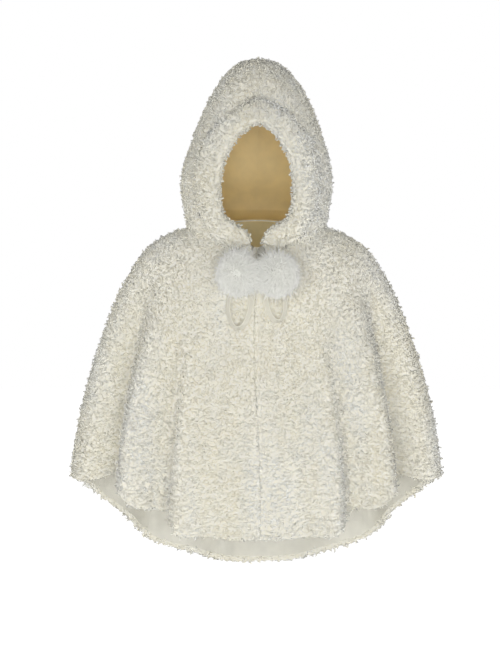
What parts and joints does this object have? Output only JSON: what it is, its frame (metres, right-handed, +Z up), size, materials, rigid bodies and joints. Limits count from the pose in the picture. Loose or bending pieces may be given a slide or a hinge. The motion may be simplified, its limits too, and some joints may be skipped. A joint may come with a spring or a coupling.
{
  "type": "hooded cape",
  "caption": "Hip-length hooded cape in curly fleece with a turned-back hood brim, satin lining, edge-to-edge front and a ribbon bow with fur pompoms at the neck.",
  "frame": {"origin": "middle of the neckline, level with the neck seam, where the wearer's neck and shoulders hold the cape", "axes": "+Z up along the wearer, -Y out of the front of the cape, +X to the wearer's left"},
  "size_m": [0.7982, 0.4644, 1.1095],
  "materials": {
    "curly_fleece": "curly pile, matt",
    "body_lining_satin": "satin",
    "hood_lining_satin": "satin",
    "ribbon_satin": "satin",
    "pompom_fur": "long soft fur"
  },
  "bodies": {
    "root": {"front_left": "curly_fleece", "front_right": "curly_fleece", "back": "curly_fleece", "hood_left": "curly_fleece", "hood_right": "curly_fleece", "hood_brim_left": "curly_fleece", "hood_brim_right": "curly_fleece", "lining_back": "body_lining_satin", "hood_lining_left": "hood_lining_satin", "hood_lining_right": "hood_lining_satin", "bow_knot": "ribbon_satin", "bow_loop_left": "ribbon_satin", "bow_loop_right": "ribbon_satin", "bow_tail_left": "ribbon_satin", "bow_tail_right": "ribbon_satin", "neck_tie_left": "ribbon_satin", "neck_tie_right": "ribbon_satin", "pompom_left": "pompom_fur", "pompom_right": "pompom_fur"}
  },
  "joints": []
}
